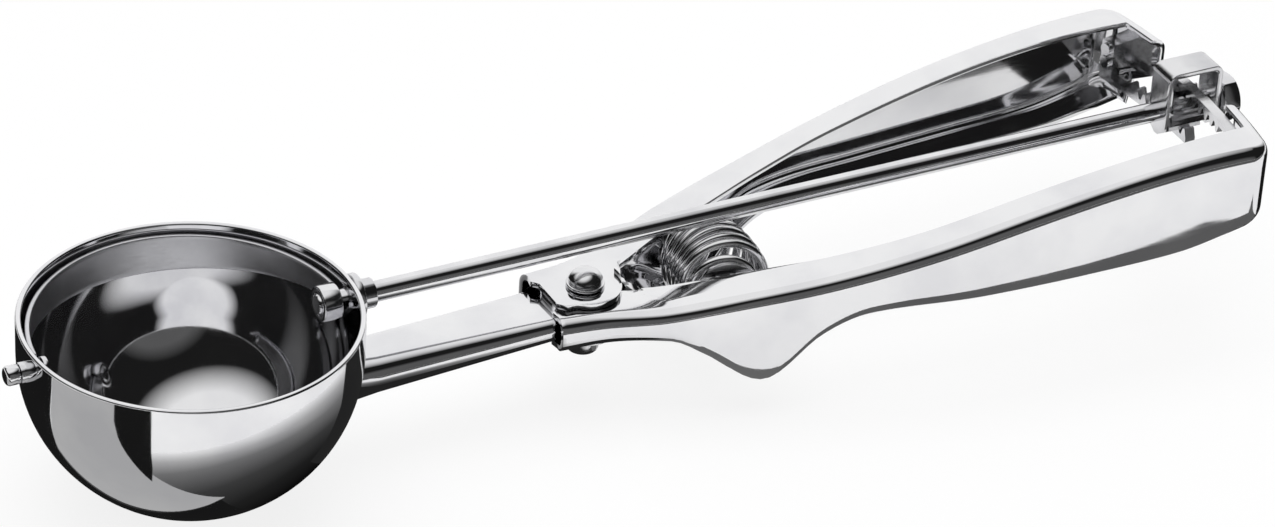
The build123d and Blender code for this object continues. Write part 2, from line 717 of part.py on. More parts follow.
with BuildPart() as rack_bracket:
    with BuildSketch(Plane(origin=(0, 0, 0), x_dir=(1, 0, 0), z_dir=(0, -1, 0))):
        with BuildLine():
            near, far = bracket_near_x, bracket_far_x
            foot_z, top_z = axis_z + bracket_bottom, axis_z + bracket_top
            Polyline((near, foot_z), (near, top_z), (far, top_z), (far, foot_z),
                     (far - bracket_plate, foot_z), (far - bracket_plate, top_z - bracket_plate),
                     (near + bracket_plate, top_z - bracket_plate),
                     (near + bracket_plate, foot_z), close=True)
        make_face()
    extrude(amount=bracket_half_width, both=True)
    fillet(rack_bracket.edges().filter_by(Axis.Y).group_by(Axis.Z)[-1], 1.8)
    fillet(rack_bracket.edges().filter_by(Axis.Y).filter_by_position(
        Axis.Z, top_z - bracket_plate - 0.1, top_z - bracket_plate + 0.1), 0.8)
    fillet(rack_bracket.edges().filter_by(Axis.X).group_by(Axis.Z)[0], 2.6)
    with BuildSketch(across(near - 1)):
        Circle(shaft_radius + running)
    extrude(amount=far - near + 2, mode=Mode.SUBTRACT)
save(rack_bracket.part, "rack_bracket")

end_washer_x = bracket_far_x + 0.2
with BuildPart() as end_washer:
    with BuildSketch(across(end_washer_x)):
        Circle(end_washer_radius)
        Circle(shaft_radius + seat_gap, mode=Mode.SUBTRACT)
    extrude(amount=end_washer_thickness)
save(end_washer.part, "end_washer")

end_nut_x = end_washer_x + end_washer_thickness
with BuildPart() as end_nut:
    with BuildSketch(across(end_nut_x)):
        RegularPolygon(nut_across_flats / 2, 6, major_radius=False)
        Circle(shaft_radius + seat_gap, mode=Mode.SUBTRACT)
    extrude(amount=nut_thickness)
save(end_nut.part, "end_nut")
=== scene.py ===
from math import asin, cos, degrees, hypot, pi, radians, sin, sqrt

import bpy
from mathutils import Matrix, Vector


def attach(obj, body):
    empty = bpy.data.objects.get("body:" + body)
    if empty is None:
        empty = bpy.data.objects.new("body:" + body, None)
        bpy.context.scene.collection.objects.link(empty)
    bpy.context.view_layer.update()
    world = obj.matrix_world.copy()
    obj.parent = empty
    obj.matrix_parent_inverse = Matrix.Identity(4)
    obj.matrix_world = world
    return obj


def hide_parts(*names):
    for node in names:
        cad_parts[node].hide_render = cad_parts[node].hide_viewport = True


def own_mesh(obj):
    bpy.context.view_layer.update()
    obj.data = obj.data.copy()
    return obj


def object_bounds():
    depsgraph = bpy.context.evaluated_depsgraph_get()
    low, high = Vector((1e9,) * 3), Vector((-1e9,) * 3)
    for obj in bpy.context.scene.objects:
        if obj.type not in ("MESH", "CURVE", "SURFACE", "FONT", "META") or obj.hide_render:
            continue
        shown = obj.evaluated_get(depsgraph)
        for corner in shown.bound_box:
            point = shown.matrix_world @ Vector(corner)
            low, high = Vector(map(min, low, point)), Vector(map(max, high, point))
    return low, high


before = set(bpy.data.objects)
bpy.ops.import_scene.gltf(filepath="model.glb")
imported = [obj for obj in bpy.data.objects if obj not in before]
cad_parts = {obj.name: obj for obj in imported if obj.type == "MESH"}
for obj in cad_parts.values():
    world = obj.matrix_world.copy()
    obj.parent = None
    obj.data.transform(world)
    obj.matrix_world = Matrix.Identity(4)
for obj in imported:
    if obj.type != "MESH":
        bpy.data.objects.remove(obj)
cad_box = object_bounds()
mm = 0.001
axis_z = -4 * mm          # height of the shaft's line, under the plane of the rim
pivot_x = 73.5 * mm       # the rivet that both handles turn on


# ---- Bowl -----------------------------------------------------------------------------------
# A cup spun from one disc of stainless sheet 1 mm thick, with a short straight collar over a
# round bottom. It is buffed to a mirror inside and out, and its trimmed rim is rolled smooth.

def steel(name, tone, cloudy, roughness, spread, lines, relief):
    """Stainless steel: tone and gloss drift in clouds, and fine marks run along one direction.

    tone and cloudy are the two colours, lines is how many marks a metre holds along X, Y and Z,
    and relief is how deep they look, from 0 to 1.
    """
    material = bpy.data.materials.new(name)
    material.use_nodes = True
    nodes, links = material.node_tree.nodes, material.node_tree.links
    shader = nodes["Principled BSDF"]
    shader.inputs["Metallic"].default_value = 1.0
    place = nodes.new("ShaderNodeTexCoord")
    clouds = nodes.new("ShaderNodeTexNoise")
    clouds.inputs["Scale"].default_value = 70
    clouds.inputs["Detail"].default_value = 4
    links.new(place.outputs["Object"], clouds.inputs["Vector"])
    stretch = nodes.new("ShaderNodeMapping")
    stretch.inputs["Scale"].default_value = lines
    links.new(place.outputs["Object"], stretch.inputs["Vector"])
    marks = nodes.new("ShaderNodeTexNoise")
    marks.inputs["Scale"].default_value = 1
    marks.inputs["Detail"].default_value = 3
    links.new(stretch.outputs["Vector"], marks.inputs["Vector"])
    shade = nodes.new("ShaderNodeMix")
    shade.data_type = "RGBA"
    shade.inputs["A"].default_value = (*cloudy, 1)
    shade.inputs["B"].default_value = (*tone, 1)
    soft = nodes.new("ShaderNodeMapRange")
    soft.inputs["From Min"].default_value = 0.35
    soft.inputs["From Max"].default_value = 0.6
    links.new(clouds.outputs["Fac"], soft.inputs["Value"])
    links.new(soft.outputs["Result"], shade.inputs["Factor"])
    links.new(shade.outputs["Result"], shader.inputs["Base Color"])
    both = nodes.new("ShaderNodeMath")
    both.operation = "MULTIPLY"
    links.new(clouds.outputs["Fac"], both.inputs[0])
    links.new(marks.outputs["Fac"], both.inputs[1])
    gloss = nodes.new("ShaderNodeMapRange")
    gloss.inputs["From Min"].default_value = 0.12
    gloss.inputs["From Max"].default_value = 0.42
    gloss.inputs["To Min"].default_value = roughness - spread
    gloss.inputs["To Max"].default_value = roughness + spread
    links.new(both.outputs["Value"], gloss.inputs["Value"])
    links.new(gloss.outputs["Result"], shader.inputs["Roughness"])
    bump = nodes.new("ShaderNodeBump")
    bump.inputs["Strength"].default_value = relief
    bump.inputs["Distance"].default_value = 0.02 * mm
    links.new(marks.outputs["Fac"], bump.inputs["Height"])
    links.new(bump.outputs["Normal"], shader.inputs["Normal"])
    return material


def done(piece, body, node, material, crease=35):
    """Closes a finished mesh, gives it its finish and lets it ride in place of the CAD node."""
    bpy.ops.object.select_all(action="DESELECT")
    bpy.context.view_layer.objects.active = piece
    piece.select_set(True)
    bpy.ops.object.transform_apply(location=True, rotation=True, scale=True)
    bpy.ops.object.shade_smooth_by_angle(angle=radians(crease))
    piece.data.materials.clear()
    piece.data.materials.append(material)
    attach(piece, body)
    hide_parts(node)
    return piece


def modified(piece, kind, **settings):
    """Adds a modifier with its settings and applies it."""
    bpy.ops.object.select_all(action="DESELECT")
    bpy.context.view_layer.objects.active = piece
    piece.select_set(True)
    bpy.ops.object.modifier_add(type=kind)
    step = piece.modifiers[-1]
    for setting, value in settings.items():
        setattr(step, setting, value)
    bpy.ops.object.modifier_apply(modifier=step.name)
    return piece


def rounded_edges(piece, width, segments, sharper_than=40):
    """Rounds every edge where the surface turns by more degrees than sharper_than."""
    return modified(piece, "BEVEL", width=width, segments=segments, limit_method="ANGLE",
                    angle_limit=radians(sharper_than))


def turned(name, outline, centre, along, steps=96):
    """A turned piece. Its half outline, as (radius, distance along), is spun round its axis."""
    along = Vector(along)
    outward = Vector((0, 0, 1)) if abs(along.x) > 0.5 else Vector((1, 0, 0))
    centre = Vector(centre)
    corners = [centre + outward * r + along * h for r, h in outline]
    bpy.ops.object.select_all(action="DESELECT")
    bpy.ops.mesh.primitive_plane_add(size=mm, location=(0, 0, 0))
    piece = bpy.context.object
    piece.name = name
    bpy.ops.object.mode_set(mode="EDIT")
    bpy.ops.mesh.select_all(action="SELECT")
    bpy.ops.mesh.merge(type="CENTER")
    bpy.ops.transform.translate(value=corners[0])
    for start, end in zip(corners, corners[1:]):
        bpy.ops.mesh.extrude_region_move(TRANSFORM_OT_translate={"value": end - start})
    bpy.ops.mesh.select_all(action="SELECT")
    bpy.ops.mesh.spin(steps=steps, angle=2 * pi, center=centre, axis=along)
    bpy.ops.mesh.select_all(action="SELECT")
    bpy.ops.mesh.remove_doubles(threshold=0.002 * mm)
    bpy.ops.mesh.normals_make_consistent(inside=False)
    bpy.ops.object.mode_set(mode="OBJECT")
    return piece


bowl_radius, bowl_wall, bottom_z = 29 * mm, 1 * mm, -6.5 * mm
bowl_inner = bowl_radius - bowl_wall
rim_round = 0.42 * mm
bowl_steel = steel("bowl_mirror_steel", (0.84, 0.84, 0.85), (0.76, 0.76, 0.78), 0.055, 0.02,
                   (900, 900, 140), 0.06)


def bowl_outline():
    """Half of the cup's section, from the middle of its inside round the lip to its underside."""
    inside = [(bowl_inner * cos(radians(a)), bottom_z + bowl_inner * sin(radians(a)))
              for a in range(-90, 1, 3)]
    lip = [(bowl_inner + rim_round * (1 - cos(radians(a))), -rim_round * (1 - sin(radians(a))))
           for a in range(0, 91, 18)]
    lip += [(bowl_radius - rim_round * (1 - sin(radians(a))),
             -rim_round * (1 - cos(radians(a)))) for a in range(0, 91, 18)]
    outside = [(bowl_radius * cos(radians(a)), bottom_z + bowl_radius * sin(radians(a)))
               for a in range(0, -91, -3)]
    return inside + lip + outside


bowl = turned("bowl_cup", bowl_outline(), (0, 0, 0), (0, 0, 1), steps=144)
done(bowl, "scoop_frame", "bowl", bowl_steel, 60)


# ---- Bushes in the bowl ---------------------------------------------------------------------
# Two small bushes turned from bright bar and brazed into the bowl's wall, one for the shaft,
# with a flange and a collar outside, and a plain one opposite for the scraper's pin.

fitting_steel = steel("turned_bright_steel", (0.78, 0.78, 0.79), (0.64, 0.64, 0.66), 0.13, 0.05,
                      (5200, 400, 400), 0.2)
bush_start = 27.9 * mm           # from the bowl's centre, flush with its inside
bush_bore, bush_radius = 1.85 * mm, 2.9 * mm
flange_radius, flange_start, flange_end = 4.0 * mm, 29.05 * mm, 30.4 * mm
collar_radius, collar_end = 2.6 * mm, 33.0 * mm
shaft_bush = turned("shaft_bush_turned", [
    (bush_bore, bush_start), (bush_radius, bush_start), (bush_radius, flange_start),
    (flange_radius, flange_start), (flange_radius, flange_end), (collar_radius, flange_end),
    (collar_radius, collar_end), (bush_bore, collar_end), (bush_bore, bush_start)],
    (0, 0, axis_z), (1, 0, 0), steps=64)
rounded_edges(shaft_bush, 0.25 * mm, 3)
done(shaft_bush, "scoop_frame", "shaft_bush", fitting_steel)

pin_bore, pin_bush_radius, pin_bush_end = 1.15 * mm, 1.8 * mm, 30.5 * mm
pin_bush = turned("pin_bush_turned", [
    (pin_bore, bush_start), (pin_bush_radius, bush_start), (pin_bush_radius, pin_bush_end),
    (pin_bore, pin_bush_end), (pin_bore, bush_start)], (0, 0, axis_z), (-1, 0, 0), steps=48)
rounded_edges(pin_bush, 0.2 * mm, 2)
done(pin_bush, "scoop_frame", "pin_bush", fitting_steel)


# ---- Neck -----------------------------------------------------------------------------------
# A stainless tube, round at the bowl and pressed flat towards the pivot. Its end is flared to
# the bowl's curve and spot welded there, and it is polished along its length.

body_steel = steel("body_mirror_steel", (0.83, 0.83, 0.84), (0.75, 0.75, 0.77), 0.06, 0.025,
                   (160, 1300, 1300), 0.07)


def formed(name, rows):
    """Sheet or tube formed over a grid: each row is a line of points, all of one count."""
    across_count, along_count = len(rows[0]), len(rows)
    bpy.ops.object.select_all(action="DESELECT")
    bpy.ops.mesh.primitive_grid_add(x_subdivisions=across_count - 1,
                                    y_subdivisions=along_count - 1, size=mm)
    piece = bpy.context.object
    piece.name = name
    for vertex, point in zip(piece.data.vertices, [p for row in rows for p in row]):
        vertex.co = point
    bpy.ops.object.mode_set(mode="EDIT")
    bpy.ops.mesh.select_all(action="SELECT")
    bpy.ops.mesh.remove_doubles(threshold=0.004 * mm)
    bpy.ops.mesh.normals_make_consistent(inside=False)
    bpy.ops.object.mode_set(mode="OBJECT")
    return piece


ring_steps, flat_share = 72, 0.05    # points whose cosine is under flat_share lie on the flats


def tube_ring(x, half_width, half_height, drop, sphere=None):
    """One obround ring of the neck, square to X or laid on a ball about the bowl's centre."""
    ring = []
    flat = half_width - half_height
    for step in range(ring_steps + 1):
        around = 2 * pi * step / ring_steps
        y = half_height * cos(around) + (flat if cos(around) > 0 else -flat)
        if abs(cos(around)) < flat_share:
            y = flat * cos(around) / flat_share
        z = axis_z - drop + half_height * sin(around)
        along = x
        if sphere:
            along = sqrt(sphere**2 - y**2 - min(0, z - bottom_z)**2)
        ring.append(Vector((along, y, z)))
    return ring


# Half width, half height and drop under the shaft's line, at the bowl, at its flare and at the end.
root = (5.5 * mm, 4.2 * mm, 15.3 * mm)
flare = (7.0 * mm, 5.7 * mm, 15.3 * mm)
flat_end = (6.4 * mm, 2.2 * mm, 12.9 * mm)
saddle, tube_wall = bowl_radius + 1.1 * mm, 1 * mm
taper_start, start_x, flat_x, end_x = 20.0 * mm, 29.5 * mm, 66 * mm, 77.9 * mm


def partway(share, grow=0.0):
    """Half width, half height and drop of the tube part of the way from the bowl."""
    w, h, d = [a + (b - a) * share for a, b in zip(root, flat_end)]
    return w + grow, h + grow, d


def taper(share, grow=0.0):
    """The same for a share of the way from where the tube leaves the bowl to where it is flat."""
    x = start_x + (flat_x - start_x) * share
    return partway((x - taper_start) / (flat_x - taper_start), grow)


neck_rows = [tube_ring(0, *flare, sphere=bowl_radius + 0.02 * mm),
             tube_ring(0, *flare, sphere=saddle - 0.15 * mm),
             tube_ring(0, flare[0] - 0.15 * mm, flare[1] - 0.15 * mm, flare[2], sphere=saddle),
             tube_ring(0, *partway(0.03, 0.55 * mm), sphere=saddle + 0.05 * mm),
             tube_ring(0, *partway(0.04, 0.18 * mm), sphere=saddle + 0.35 * mm)]
for share in [n / 12 for n in range(1, 13)]:
    neck_rows.append(tube_ring(start_x + (flat_x - start_x) * share, *taper(share)))
end_round = 0.2 * mm
for x, inset in ((end_x - end_round, 0), (end_x, end_round), (end_x, tube_wall - end_round),
                 (end_x - end_round, tube_wall)):
    neck_rows.append(tube_ring(x, flat_end[0] - inset, flat_end[1] - inset, flat_end[2]))
for share in [1 - n / 8 for n in range(9)]:
    neck_rows.append(tube_ring(start_x + 2 * mm + (flat_x - start_x) * share,
                               *taper(share, -tube_wall)))
neck = formed("neck_tube", neck_rows)
done(neck, "scoop_frame", "neck", body_steel, 50)


# ---- Pivot ----------------------------------------------------------------------------------
# A solid rivet, headed over a washer on top and peened into a plug below, turned bright before
# it was set. It holds the neck between the ears of both handles.

ear_gap, sheet = 0.1 * mm, 1 * mm
neck_top = axis_z - flat_end[2] + flat_end[1]
neck_bottom = axis_z - flat_end[2] - flat_end[1]
front_top, front_bottom = neck_top + ear_gap + sheet, neck_bottom - ear_gap - sheet
back_top, back_bottom = front_top + ear_gap + sheet, front_bottom - ear_gap - sheet
washer_thick, washer_bore, washer_radius = 0.6 * mm, 2.52 * mm, 3.4 * mm
washer_top = back_top + ear_gap + washer_thick
head_radius, head_height, dome = 3.0 * mm, 2.5 * mm, 1.62 * mm
shank_radius, tail_radius, tail_tip_radius = 2.5 * mm, 2.9 * mm, 1.7 * mm
tail_length, tail_dome = 3.3 * mm, 1.05 * mm
dome_radius = (head_radius**2 + dome**2) / (2 * dome)
dome_turn = asin(head_radius / dome_radius)
head_z = washer_top + head_height
rivet_outline = [(0, head_z)]
rivet_outline += [(dome_radius * sin(dome_turn * n / 12),
                   head_z - dome_radius * (1 - cos(dome_turn * n / 12))) for n in range(1, 13)]
tail_z = back_bottom - ear_gap
rivet_outline += [(head_radius, washer_top), (shank_radius, washer_top), (shank_radius, tail_z),
                  (tail_radius, tail_z), (tail_radius, tail_z - tail_length)]
rivet_outline += [(tail_tip_radius + (tail_radius - tail_tip_radius) * cos(pi / 2 * n / 6),
                   tail_z - tail_length - tail_dome * sin(pi / 2 * n / 6)) for n in range(1, 7)]
rivet_outline += [(0, tail_z - tail_length - tail_dome)]
rivet = turned("pivot_rivet_headed", rivet_outline, (pivot_x, 0, 0), (0, 0, 1), steps=72)
rounded_edges(rivet, 0.15 * mm, 2)
done(rivet, "scoop_frame", "pivot_rivet", fitting_steel)

washer_low, washer_high = washer_top - washer_thick, washer_top - 0.01 * mm
washer = turned("pivot_washer_turned", [
    (washer_bore, washer_low), (washer_radius, washer_low), (washer_radius, washer_high),
    (washer_bore, washer_high), (washer_bore, washer_low)], (pivot_x, 0, 0), (0, 0, 1), steps=72)
rounded_edges(washer, 0.18 * mm, 2)
done(washer, "scoop_frame", "pivot_washer", fitting_steel)


# ---- Handles --------------------------------------------------------------------------------
# Two channels pressed from 1 mm stainless sheet and buffed: a flat top, a tall outer wall with
# rolled edges, a finger bump below, and an end wall that reaches in as a tongue for the rack.

def eased(points, at):
    """Height of the smooth line through points at one place along it."""
    points = sorted(points)
    slopes = []
    for n, (x, y) in enumerate(points):
        x0, y0 = points[max(n - 1, 0)]
        x1, y1 = points[min(n + 1, len(points) - 1)]
        slopes.append((y1 - y0) / (x1 - x0))
    at = min(max(at, points[0][0]), points[-1][0])
    for n in range(len(points) - 1):
        (x0, y0), (x1, y1) = points[n], points[n + 1]
        if at <= x1:
            t, run = (at - x0) / (x1 - x0), x1 - x0
            return (y0 * (2 * t**3 - 3 * t**2 + 1) + y1 * (3 * t**2 - 2 * t**3)
                    + slopes[n] * run * (t**3 - 2 * t**2 + t) + slopes[n + 1] * run * (t**3 - t**2))


# Seen from above, in millimetres: half widths of the outer wall and of the flanges' inner edge.
outer_line = [(65.2, 8.7), (74.0, 9.8), (84.0, 13.2), (95.0, 17.3), (110.0, 21.1),
              (130.0, 24.6), (150.0, 26.3), (175.0, 27.4), (194.9, 28.0)]
inner_line = [(79.5, 2.2), (92.0, 8.0), (103.0, 11.5), (115.0, 15.0), (130.0, 18.0),
              (150.0, 19.6), (175.0, 20.4), (193.4, 20.0)]
# Seen from the side: heights over the shaft's line of the top and of the underside.
top_line = [(95.0, -6.9), (112.0, -4.4), (130.0, -1.1), (150.0, 2.8), (166.0, 5.2), (182.0, 6.6),
            (200.1, 6.6)]
under_line = [(90.0, -19.2), (100.0, -24.7), (109.5, -16.7), (118.0, -13.3), (140.0, -13.4),
              (160.0, -13.2), (178.0, -12.6), (187.0, -11.0), (200.1, -7.9)]
nose_x, rear_x = 65.2, 84.0                  # where the ears begin and where they have run out
lip_x, lip_y = 193.4, 20.0                   # inner corner of the flange at the end wall
end_radius, lip_radius, corner_round, edge_round = 124.6, 121.6, 5.0, 2.6
ear_radius, end_wall_x = 6.4, 194.9
# The tongue's tip and root, as distances from the middle, and how far its lower edge slopes down
# between them, from tongue_low under the shaft's line.
tongue_reach, tongue_root, tongue_low, tongue_slope = 12.6, 20.2, 1.2, 4.8
flange_steps, round_steps, wall_steps = 7, 8, 8     # faces across each part of the section


def handle_stations():
    """Pairs of points seen from above: on the outer wall, and on the flanges' inner edge."""
    px = pivot_x / mm
    stations = []
    corner_y = eased(outer_line, 191) - corner_round
    corner_x = px + sqrt((end_radius - corner_round)**2 - corner_y**2)
    # The ear: its front edge, cut square with its corners off, then round the rivet to the rear.
    ear = [(65.2, 4.35), (66.0, 3.6), (66.3, 3.2), (66.3, 1.5), (66.3, -0.2), (66.3, -2.0),
           (66.3, -3.64), (67.0, -4.34), (67.7, -5.04), (68.6, -5.04)]
    ear += [(px + ear_radius * cos(radians(a)), -ear_radius * sin(radians(a)))
            for a in range(128, -21, -10)]
    for n, inner in enumerate(ear):
        x = nose_x + (rear_x - nose_x) * n / (len(ear) - 1)
        stations.append(((x, eased(outer_line, x)), inner))
    for n in range(1, 71):
        x = rear_x + (corner_x - rear_x) * n / 70
        inner_x = inner_line[0][0] + (lip_x - inner_line[0][0]) * n / 70
        stations.append(((x, eased(outer_line, x)), (inner_x, eased(inner_line, inner_x))))
    stop = degrees(asin(corner_y / (end_radius - corner_round)))
    for n in range(1, 13):
        turn = radians(90 + (stop - 90) * n / 12)
        stations.append(((corner_x + corner_round * cos(turn),
                          corner_y + corner_round * sin(turn)), (lip_x, lip_y)))
    lip_start = degrees(asin(lip_y / lip_radius))
    lip_stop = degrees(asin(tongue_reach / end_radius))
    for n in range(1, 17):
        a = radians(stop + (lip_stop - stop) * n / 16)
        b = radians(lip_start + (lip_stop - lip_start) * n / 16)
        stations.append(((px + end_radius * cos(a), end_radius * sin(a)),
                         (px + lip_radius * cos(b), lip_radius * sin(b))))
    return stations


def handle_rows(side, ear_top, ear_bottom):
    """Rows of the pressed sheet's outer face, from the top flange round to the bottom one."""
    stations = handle_stations()
    line_z = axis_z / mm
    tops = [(60.0, ear_top - line_z), (80.9, ear_top - line_z)] + top_line
    unders = [(60.0, ear_bottom - line_z), (84.0, ear_bottom - line_z)] + under_line
    rows = []
    for n, ((ox, oy), (ix, iy)) in enumerate(stations):
        (ax, ay), (bx, by) = stations[max(n - 1, 0)][0], stations[min(n + 1, len(stations) - 1)][0]
        run = hypot(bx - ax, by - ay)
        outward = Vector((-(by - ay) / run, (bx - ax) / run))
        top = line_z + eased(tops, ox)
        under = line_z + eased(unders, ox)
        rounding = min(edge_round, 0.85 * hypot(ox - ix, oy - iy))
        edge = Vector((ox, oy)) - outward * rounding
        flange = [(ix + (edge.x - ix) * k / flange_steps, iy + (edge.y - iy) * k / flange_steps)
                  for k in range(flange_steps)]
        quarter = [pi / 2 * k / round_steps for k in range(round_steps + 1)]
        row = [(x, y, line_z + eased(tops, x)) for x, y in flange]
        for turn in quarter:
            point = edge + outward * rounding * sin(turn)
            row.append((point.x, point.y, top - rounding * (1 - cos(turn))))
        wall_top, wall_low, wall_at = top - rounding, under + rounding, len(row)
        row += [(ox, oy, wall_top + (wall_low - wall_top) * k / wall_steps)
                for k in range(1, wall_steps)]
        for turn in quarter:
            point = edge + outward * rounding * cos(turn)
            row.append((point.x, point.y, under + rounding * (1 - sin(turn))))
        row += [(x, y, line_z + eased(unders, x)) for x, y in reversed(flange)]
        if ox > end_wall_x and oy < tongue_root:
            # The tongue has no lower flange: its wall stops at the sloping edge.
            slope = tongue_slope / (tongue_root - tongue_reach)
            cut = line_z - tongue_low - (oy - tongue_reach) * slope
            count = len(row)
            row[wall_at:] = [(ox, oy, wall_top + (cut - wall_top) * k / (wall_steps - 1))
                             for k in range(1, wall_steps)]
            row += [(ox, oy, cut)] * (count - len(row))
        rows.append([Vector((x * mm, side * y * mm, z * mm)) for x, y, z in row])
    return rows


def faced(piece, face, direction):
    """Turns the outer side of a formed sheet to a direction, judged by one of its faces."""
    if face.normal.dot(Vector(direction)) < 0:
        bpy.context.view_layer.objects.active = piece
        bpy.ops.object.mode_set(mode="EDIT")
        bpy.ops.mesh.select_all(action="SELECT")
        bpy.ops.mesh.flip_normals()
        bpy.ops.object.mode_set(mode="OBJECT")


def pressed_handle(name, side, ear_top, ear_bottom):
    """One handle; side is -1 in front and 1 at the back, and its ears' outer faces are given."""
    handle = formed(name, handle_rows(side, ear_top / mm, ear_bottom / mm))
    handle.data.update()
    wall_face = max(handle.data.polygons, key=lambda face: side * face.center.y)
    faced(handle, wall_face, (0, side, 0))
    modified(handle, "SOLIDIFY", thickness=sheet, offset=-1, use_even_offset=False)
    rounded_edges(handle, 0.22 * mm, 3, 60)
    return handle


front = pressed_handle("front_handle_pressed", -1, front_top, front_bottom)
done(front, "front_grip", "front_handle", body_steel, 55)
back = pressed_handle("back_handle_pressed", 1, back_top, back_bottom)
done(back, "back_grip", "back_handle", body_steel, 55)


# ---- Spring ---------------------------------------------------------------------------------
# Bright drawn spring wire wound cold in seven turns on a curve about the pivot. The last turn
# at each end draws in round its peg.

spring_steel = steel("drawn_spring_wire", (0.8, 0.8, 0.81), (0.66, 0.66, 0.68), 0.1, 0.04,
                     (900, 900, 900), 0.05)
wire, turns = 0.78 * mm, 7                               # half the wire's thickness
coil, end_coil, bend = 7.4 * mm, 5.2 * mm, 25 * mm       # radii of the wire's middle line
spring_lean, spring_drop, steps_a_turn = radians(17), 10.8 * mm, 48


def wire_point(step):
    """A point on the wire's middle line; step runs from 0 at one end to 1 at the other."""
    around = 2 * pi * turns * step
    lean = spring_lean * (2 * step - 1)
    full = min(1, turns * min(step, 1 - step))
    radius = end_coil + (coil - end_coil) * (1 - cos(pi * full)) / 2
    reach = bend + radius * cos(around)
    return (pivot_x + reach * cos(lean), reach * sin(lean),
            axis_z - spring_drop + radius * sin(around))


bpy.ops.object.select_all(action="DESELECT")
wire_line = bpy.data.curves.new("spring_line", "CURVE")
wire_line.dimensions = "3D"
wire_line.bevel_depth = wire
wire_line.bevel_resolution = 5
wire_line.use_fill_caps = True
coil_path = wire_line.splines.new("POLY")
coil_path.points.add(turns * steps_a_turn)
for n, point in enumerate(coil_path.points):
    point.co = (*wire_point(n / (turns * steps_a_turn)), 1)
spring = bpy.data.objects.new("spring_coil", wire_line)
bpy.context.scene.collection.objects.link(spring)
spring.select_set(True)
bpy.context.view_layer.objects.active = spring
bpy.ops.object.convert(target="MESH")
spring = bpy.context.object
done(spring, "scoop_frame", "handle_spring", spring_steel, 60)
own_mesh(spring)


# ---- Shaft, scraper and its fittings --------------------------------------------------------
# A ground stainless rod runs from the bowl to the pinion, with a rolled thread at its far end.
# Inside the bowl it carries a curved strip that scrapes the wall, held by a hub and a pin.

shaft_steel = steel("ground_rod_steel", (0.81, 0.81, 0.82), (0.68, 0.68, 0.7), 0.075, 0.03,
                    (2600, 300, 300), 0.09)
rod, rod_start, rod_rings, ring_gap = 1.8 * mm, 22.7 * mm, 16, 11.1 * mm
start_chamfer, tip_chamfer = 0.3 * mm, 0.4 * mm
thread_start, thread_pitch, thread_depth, tip = 200.6 * mm, 0.5 * mm, 0.22 * mm, 204.6 * mm
rod_outline = [(0, rod_start), (rod - start_chamfer, rod_start), (rod, rod_start + start_chamfer)]
rod_outline += [(rod, rod_start + start_chamfer + n * ring_gap) for n in range(1, rod_rings + 1)]
crest = thread_start
while crest < tip - tip_chamfer - 0.2 * mm:
    rod_outline += [(rod, crest), (rod - thread_depth, crest + thread_pitch / 2)]
    crest += thread_pitch
rod_outline += [(rod, tip - tip_chamfer), (rod - tip_chamfer, tip), (0, tip)]
shaft = turned("shaft_rod", rod_outline, (0, 0, axis_z), (1, 0, 0), steps=64)
done(shaft, "scraper", "shaft", shaft_steel, 45)

shaft_bore = rod + 0.02 * mm
hub_start, hub_end, hub_radius = 23.01 * mm, 26.41 * mm, 3.2 * mm
hub = turned("scraper_hub_turned", [
    (shaft_bore, hub_start), (hub_radius, hub_start), (hub_radius, hub_end), (shaft_bore, hub_end),
    (shaft_bore, hub_start)], (0, 0, axis_z), (1, 0, 0), steps=64)
rounded_edges(hub, 0.35 * mm, 3)
done(hub, "scraper", "scraper_hub", fitting_steel)

pin_start, pin_tip, pin_radius = 25.65 * mm, 33.0 * mm, 1.1 * mm
pin_head_radius, pin_head_end = 2.0 * mm, 26.5 * mm
button_radius, button_start, button_end = 1.7 * mm, 30.6 * mm, 32.4 * mm
pin = turned("scraper_pin_headed", [
    (0, pin_start), (pin_head_radius, pin_start), (pin_head_radius, pin_head_end),
    (pin_radius, pin_head_end), (pin_radius, button_start), (button_radius, button_start),
    (button_radius, button_end), (1.52 * mm, 32.8 * mm), (pin_radius, pin_tip), (0, pin_tip)],
    (0, 0, axis_z), (-1, 0, 0), steps=48)
rounded_edges(pin, 0.15 * mm, 2)
done(pin, "scraper", "scraper_pin", shaft_steel)

blade_steel = steel("satin_strip_steel", (0.74, 0.74, 0.76), (0.6, 0.6, 0.62), 0.34, 0.06,
                    (200, 2600, 2600), 0.2)
blade_reach, blade_tilt = 27.45 * mm, radians(2)
blade_thick, eye_half_width, middle_half_width = 0.8 * mm, 1.65 * mm, 3.5 * mm
eye_turn, blade_steps = 4, 72     # degrees from the shaft's line to each eye, and pieces between


def blade_rows():
    """The strip lies on a ball about the shaft's line, widest half way and narrow at its eyes."""
    rows = []
    for n in range(blade_steps + 1):
        turn = radians(eye_turn + (180 - 2 * eye_turn) * n / blade_steps)
        half_width = eye_half_width + (middle_half_width - eye_half_width) * sin(turn)
        row = []
        for k in range(9):
            across = half_width * (k / 4 - 1)
            flat_reach = sqrt(blade_reach**2 - across**2)
            out = flat_reach * sin(turn)
            row.append(Vector((flat_reach * cos(turn),
                               out * cos(blade_tilt) + across * sin(blade_tilt),
                               axis_z - out * sin(blade_tilt) + across * cos(blade_tilt))))
        rows.append(row)
    return rows


blade = formed("scraper_blade_strip", blade_rows())
faced(blade, min(blade.data.polygons, key=lambda face: abs(face.center.x)), (0, 1, 0))
modified(blade, "SOLIDIFY", thickness=blade_thick, offset=-1)
rounded_edges(blade, 0.2 * mm, 2, 50)
done(blade, "scraper", "scraper_blade", blade_steel, 45)


